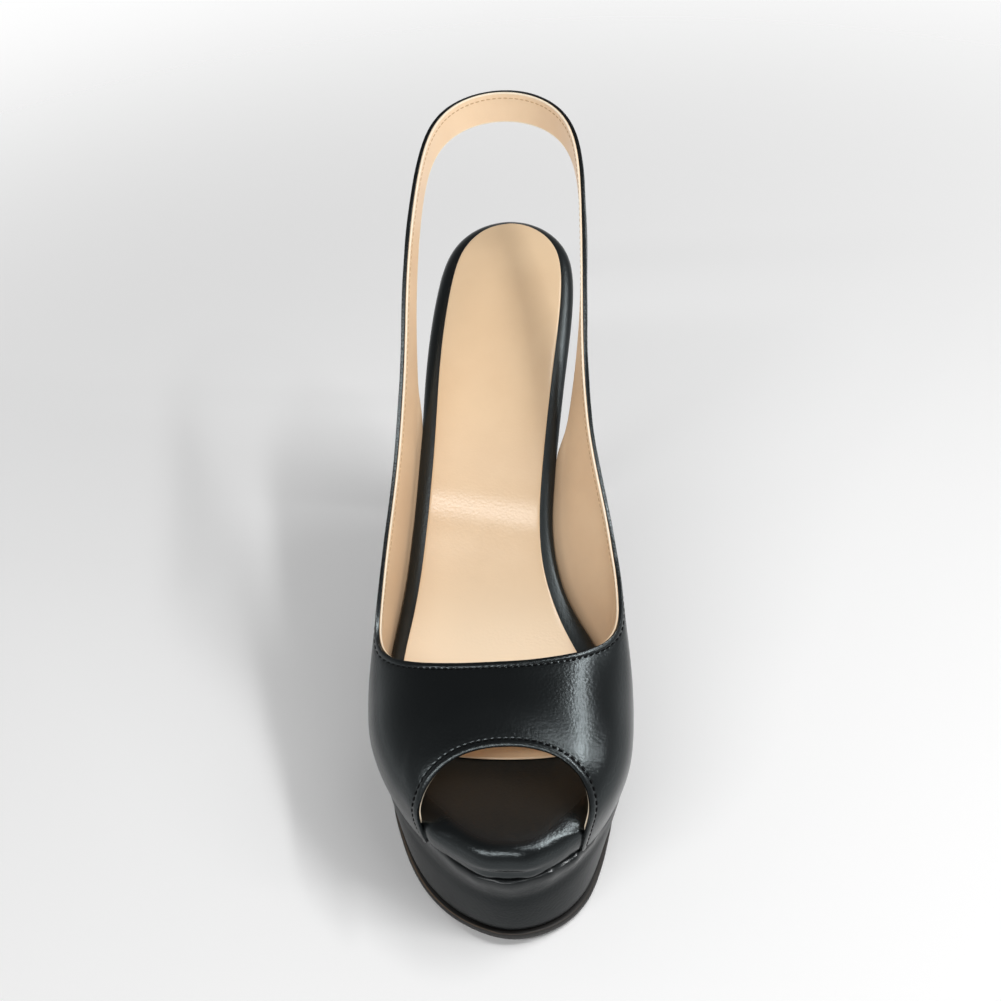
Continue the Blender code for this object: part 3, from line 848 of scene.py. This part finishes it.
def make_upper(insole_cover):
    """The leather and the lining of the upper, with their rows of stitches."""
    outer, inner = split_wall()
    insole = BVHTree.FromPolygons(*mesh_lists(insole_cover))
    leather_start = [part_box("platform")[1].y - ahead for ahead in LEATHER_START]
    toe_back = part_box("insole")[0].y + OPEN_TOE
    for sheet in (outer, inner):
        smooth_out(sheet, 1)
        crowd_border(sheet)
    draw_under(outer, insole, lambda point: LEATHER_SHARE * ease(point[1], *leather_start))
    draw_under(inner, insole,
               lambda point: ease(point[1], toe_back - OPEN_TOE_BLUR, toe_back + OPEN_TOE_BLUR))
    draw_back_at_toe(inner)
    guide = surface_of(outer, 1)
    top, low = border_loops(guide)
    topline = EdgeLine(top, closed=True)
    free = [EdgeLine(run, closed=False) for run in free_runs(low)]
    face = BVHTree.FromPolygons(*mesh_lists(guide))
    bpy.data.objects.remove(guide)

    thicken(outer, LEATHER)
    round_edges(outer, LEATHER_ROUND, 2)
    smooth_out(outer, 1)
    points = points_of(outer)
    top_away, top_along = topline.measure(points)
    measured = [line.measure(points) for line in free]
    nearest = np.argmin([away for away, _ in measured], axis=0)
    free_away = np.min([away for away, _ in measured], axis=0)
    free_along = np.choose(nearest, [along for _, along in measured])
    normals = normals_of(outer)
    facing = [face.find_nearest(Vector(p))[1].dot(Vector(n)) for p, n in zip(points, normals)]
    swell = np.zeros(len(points))
    for away, inset in ((top_away, TOPLINE_INSET), (free_away, TOE_INSET)):
        swell += BEAD * np.sin(math.pi * np.clip(away / inset, 0, 1)) * (away < inset)
        swell -= SEAM_DEPTH * bell(away - inset, SEAM_WIDTH)
    swell += UNEVEN * wave(points, UNEVEN_SIZE, seed=4.0)
    outside = ease(np.array(facing), *SWELL_TILT)
    move_points(outer, points + normals * (swell * outside)[:, None])
    store(outer, "top_away", top_away)
    store(outer, "top_along", top_along)
    store(outer, "free_away", free_away)
    store(outer, "free_along", free_along)
    finish_piece(outer, black_leather("vamp_leather", stitched=True), "black_leather", "upper")

    lining_guide = surface_of(inner, 1)
    inner_top, inner_low = border_loops(lining_guide)
    inner_line = EdgeLine(inner_top, closed=True)
    inner_free = [EdgeLine(run, closed=False) for run in free_runs(inner_low)]
    inner_face = BVHTree.FromPolygons(*mesh_lists(lining_guide))
    bpy.data.objects.remove(lining_guide)
    thicken(inner, LINING)
    round_edges(inner, LINING_ROUND, 1)
    smooth_out(inner, 1)
    points = points_of(inner)
    away = np.min([line.measure(points)[0] for line in [inner_line] + inner_free], axis=0)
    store(inner, "away", away)
    gaps = np.array([insole.find_nearest(Vector(p))[3] for p in points])
    # Painted shade where the lining meets the insole
    store(inner, "fold", 1 - ease(gaps, *PAINTED_SHADE_REACH))
    lining = beige_leather("lining_leather", LINING_TONE, LINING_SHADE, edged=True)
    finish_piece(inner, lining, "beige_leather")

    black_thread = plain_thread("black_thread", BLACK_THREAD)
    tan_thread = plain_thread("tan_thread", TAN_THREAD)
    sew("topline_stitches", [topline], face, TOPLINE_INSET, black_thread, "black_leather")
    sew("edge_stitches", free, face, TOE_INSET, black_thread, "black_leather")
    sew("lining_stitches", [inner_line], inner_face, LINING_INSET, tan_thread, "beige_leather")


# The sole pieces

def shape_roll(points, normals, low):
    """The insole's points with a creased, fuller and wider roll in front, and a swelled rim behind it."""
    back = points[:, 1] - low.y
    middle = points[:, 0][back < FRONT_STRIP].mean()
    off_middle = points[:, 0] - middle
    rise = points[:, 2] - low.z
    ahead = 1 - ease(back, *CREASE_END)
    crease = bell(rise - CREASE_RISE, CREASE_WIDTH) * np.exp(-(off_middle / CREASE_HALF) ** 4) * ahead
    tuck = bell(rise - TUCK_RISE, TUCK_WIDTH) * bell(off_middle, CREASE_HALF) * ahead
    points = points + normals * (TUCK_HEIGHT * tuck - CREASE_DEPTH * crease)[:, None]
    waist = ease(points[:, 1], *RIM_START) * (1 - ease(points[:, 1], *RIM_END))
    points[:, 0] += RIM_MORE * waist * ease(normals[:, 0], *RIM_TILT)
    for more, start, tilt in ((ROLL_MORE, ROLL_MORE_START, ROLL_MORE_TILT),
                              (LEG_MORE, LEG_MORE_START, LEG_MORE_TILT)):
        back = points[:, 1] - low.y
        ends = ease(back, *start) * (1 - ease(back, *ROLL_MORE_END))
        side = np.sign(points[:, 0] - middle) * ease(np.abs(normals[:, 0]), *tilt)
        points[:, 0] += more * ends * side
    off_middle = np.abs(points[:, 0] - middle)
    fuller = bell(off_middle - ROLL_FULL_PLACE, ROLL_FULL_WIDTH)
    fuller -= 0.7 * bell(off_middle, 0.8 * ROLL_FULL_WIDTH)
    points[:, 1] -= ROLL_FULL * fuller * (1 - ease(points[:, 1] - low.y, *ROLL_FULL_END))
    return points


def make_insole():
    """The leather-wrapped board with its rolled front."""
    insole = copy_node("insole", "insole_cover")
    cut_rungs(insole, 7)
    smooth_out(insole, 2)
    low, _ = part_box("insole")
    soften(insole, 1 - ease(points_of(insole)[:, 1] - low.y, *ROLL_SOFT_END), ROLL_SOFTENING)
    normals = normals_of(insole)
    points = shape_roll(points_of(insole), normals, low)
    move_points(insole, points)
    toe = 1 - ease(points[:, 1] - low.y, *TOE_END)
    # Where the painted reflection of the lining goes inside the toe
    store(insole, "painted_toe_reflection", toe * ease(normals[:, 2], *TOE_FLAT))
    store(insole, "roll", RIM_GLOSS + (1 - RIM_GLOSS) * toe - toe * ease(normals[:, 2], *ROLL_FLAT))
    finish_piece(insole, black_leather("insole_leather", rolled=True), "black_leather", "insole")
    return insole


def make_sock():
    """The sock, evened out at its rear end, with a slight fold across the waist."""
    sock = copy_node("sock_lining", "sock")
    points = points_of(sock)
    ahead = points[:, 1].max() - points[:, 1]
    outer = points[:, 0] < SOCK_JOG
    points[:, 1] += SOCK_MORE * outer * ease(-ahead, *(-reach for reach in SOCK_MORE_REACH))
    move_points(sock, points)
    cut_rungs(sock, 9)
    smooth_out(sock, 2)
    points = points_of(sock)
    beyond = points[:, 1] - FOLD_PLACE + FOLD_SLANT * points[:, 0]
    points[:, 2] += FOLD_RISE * (beyond / FOLD_LENGTH) * bell(beyond, FOLD_LENGTH)
    move_points(sock, points)
    # Where the sock's painted light goes
    store(sock, "worn_and_lit", ease(points[:, 1], *LIT_START) * (1 - ease(points[:, 1], *LIT_END)))
    past_band = points[:, 1] - BAND_PLACE + BAND_SLANT * points[:, 0]
    band = FOLD_BAND_SHARE * bell(beyond, FOLD_BAND_WIDTH) + bell(past_band, BAND_WIDTH)
    store(sock, "rough_band", band)
    material = beige_leather("sock_leather", SOCK_TONE, SOCK_SHADE, 0.235, 0.62, 0.016 * MM, worn_and_lit=True)
    finish_piece(sock, material, "beige_leather", "sock_lining")


def cut_lip(platform):
    """Cut the band below the platform's upper edge into narrow rows, which the gathered lip needs."""
    points = points_of(platform)
    open_mesh(platform, "EDGE")
    close_mesh()
    for edge in platform.data.edges:
        first, second = sorted(points[list(edge.vertices)], key=lambda p: p[2])
        near = np.linalg.norm(points[:, :2] - second[:2], axis=1) < ROW_NEAR
        rise = second[2] - first[2]
        steep = rise > ROW_STEEP * np.linalg.norm(second - first)
        at_top = second[2] > points[near, 2].max() - ROW_SLACK
        edge.select = bool(steep and at_top and rise > ROW_LONG)
    bpy.ops.object.mode_set(mode="EDIT")
    bpy.ops.mesh.subdivide(number_cuts=3)
    close_mesh()


def make_platform():
    """The wrapped platform, whose leather is gathered unevenly along its upper edge in front."""
    platform = copy_node("platform", "platform_cover")
    cut_rungs(platform, 5)
    cut_lip(platform)
    smooth_out(platform, 2)
    points = points_of(platform)
    normals = normals_of(platform)
    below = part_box("insole")[0].z - points[:, 2]
    front = 1 - ease(points[:, 1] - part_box("platform")[0].y, *LIP_END)
    lip = ease(-below, *(-depth for depth in LIP_DEPTH)) * front
    flat = points * (1, 1, 0.3)
    swell = wave(flat, LIP_SWELL_SIZE, seed=2.0) + 0.5 * wave(flat, LIP_SWELL_SMALL, seed=5.0)
    gather = sum(bell(points[:, 0] - place, width) for place, width in GATHERS)
    outer = ease(-points[:, 0], *OUTER_SIDE)
    out = LIP_OUT - OUTER_IN * outer + LIP_SWELL * swell + GATHER_OUT * gather
    points = points + normals * (1, 1, 0) * (out * lip)[:, None]
    uneven = LIP_RISE_SWELL * wave(points * (1, 1, 0), LIP_RISE_SIZE, seed=9.0)
    points[:, 2] += lip * (LIP_RISE + uneven + GATHER_RISE * gather + OUTER_RISE * outer)
    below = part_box("insole")[0].z - points[:, 2]
    hollow = bell(below - HOLLOW_DROP, HOLLOW_WIDTH) * front
    points -= normals * (1, 1, 0) * (HOLLOW_DEPTH * hollow)[:, None]
    move_points(platform, points)
    store(platform, "lip", lip * lip)
    leather = black_leather("platform_leather", 0.05 * MM, 0.38, 0.24, lipped=True)
    finish_piece(platform, leather, "black_leather", "platform")


def make_outsole():
    """The outsole, led on up to the heel, with a tan line along its upper edge."""
    outsole = copy_node("outsole", "outsole_plate")
    cut_rungs(outsole, 5)
    smooth_out(outsole, 2)
    points = points_of(outsole)
    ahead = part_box("outsole")[1].y - points[:, 1]
    rear = points[ahead < SLOPE_END].mean(axis=0)
    before = points[np.abs(ahead - SLOPE_AHEAD) < SLOPE_STRIP].mean(axis=0)
    slope = (rear - before) * (0, 1, 1)
    slope /= np.linalg.norm(slope)
    share = ease(-ahead, *(-reach for reach in OUTSOLE_MORE_REACH))
    points += slope * (OUTSOLE_MORE * share)[:, None]
    move_points(outsole, points)
    facing_up = normals_of(outsole)[:, 2]
    line = ease(facing_up, *TAN_START) * (1 - ease(facing_up, *TAN_END))
    worn_and_lit = TAN_WORN + (1 - TAN_WORN) * ease(-points[:, 0], *TAN_WORN_PLACE)
    store(outsole, "upper_edge", line * worn_and_lit)
    finish_piece(outsole, sole_rubber("outsole_rubber", edged=True), "sole_rubber", "outsole")


def make_heel():
    """The covered heel and the hard piece under it."""
    heel = copy_node("heel", "heel_cover")
    round_edges(heel, HEEL_ROUND, 2)
    smooth_out(heel, 2)
    finish_piece(heel, black_leather("heel_leather"), "black_leather", "heel")
    tip = copy_node("heel_tip", "heel_top_piece")
    round_edges(tip, TIP_ROUND, 2)
    finish_piece(tip, sole_rubber("heel_rubber"), "sole_rubber", "heel_tip")


# The studio

def make_studio():
    bpy.ops.object.select_all(action="DESELECT")
    bpy.ops.mesh.primitive_plane_add(size=2 * FLOOR_END)
    floor = bpy.context.active_object
    floor.name = "floor"
    finish = Finish("pale_floor")
    away = finish.node("VectorMath", {"operation": "LENGTH"}, {0: finish.place()}, output="Value")
    finish.set(Base_Color=FLOOR_TONE, Roughness=0.7)
    finish.set(Alpha=1.0 - finish.between(away, FLOOR_FADE, FLOOR_END))
    floor.data.materials.append(finish.material)
    world = bpy.data.worlds.new("studio")
    world.use_nodes = True
    bpy.context.scene.world = world
    sky = NodeTree(world.node_tree)
    height = sky.node("SeparateXYZ", None, {0: sky.node("TexCoord", output="Generated")}, output="Z")
    low = 1.0 - sky.node("Math", {"operation": "MAXIMUM"}, {0: height, 1: 0.0})
    background = world.node_tree.nodes["Background"]
    background.inputs["Color"].default_value = (1, 1, 1, 1)
    sky.feed(background.inputs["Strength"], ZENITH + low * low * (HORIZON - ZENITH))
    for lamp in LAMPS:
        add_lamp(*lamp)


def add_lamp(name, place, along, size, power):
    """A long lamp of the given width and length that faces the shoe."""
    data = bpy.data.lights.new(name, "AREA")
    data.shape = "RECTANGLE"
    data.size, data.size_y = size
    data.energy = power
    lamp = bpy.data.objects.new(name, data)
    bpy.context.scene.collection.objects.link(lamp)
    back = (Vector(place) - Vector(LAMP_AIM)).normalized()
    across = Vector(along).cross(back).normalized()
    turn = Matrix((across, back.cross(across), back)).transposed().to_4x4()
    lamp.matrix_world = Matrix.Translation(place) @ turn


def make_camera():
    data = bpy.data.cameras.new("camera")
    data.sensor_fit = "HORIZONTAL"
    data.sensor_width = SENSOR_MM
    data.lens = FOCAL_PIXELS * SENSOR_MM / FRAME_PIXELS
    data.clip_start = 0.01
    camera = bpy.data.objects.new("camera", data)
    bpy.context.scene.collection.objects.link(camera)
    camera.location = CAMERA_PLACE
    photo_turn = Euler((math.pi / 2 - PHOTO_PITCH, 0, 0)).to_quaternion()
    photo_aim = photo_turn @ Vector((0, 0, -1))
    aim = Vector(CAMERA_AIM) - Vector(CAMERA_PLACE)
    camera.rotation_euler = (photo_aim.rotation_difference(aim) @ photo_turn).to_euler()
    bpy.context.scene.camera = camera
    bpy.context.scene.view_settings.view_transform = "Standard"


make_camera()
make_studio()
make_upper(make_insole())
make_sock()
make_platform()
make_outsole()
make_heel()
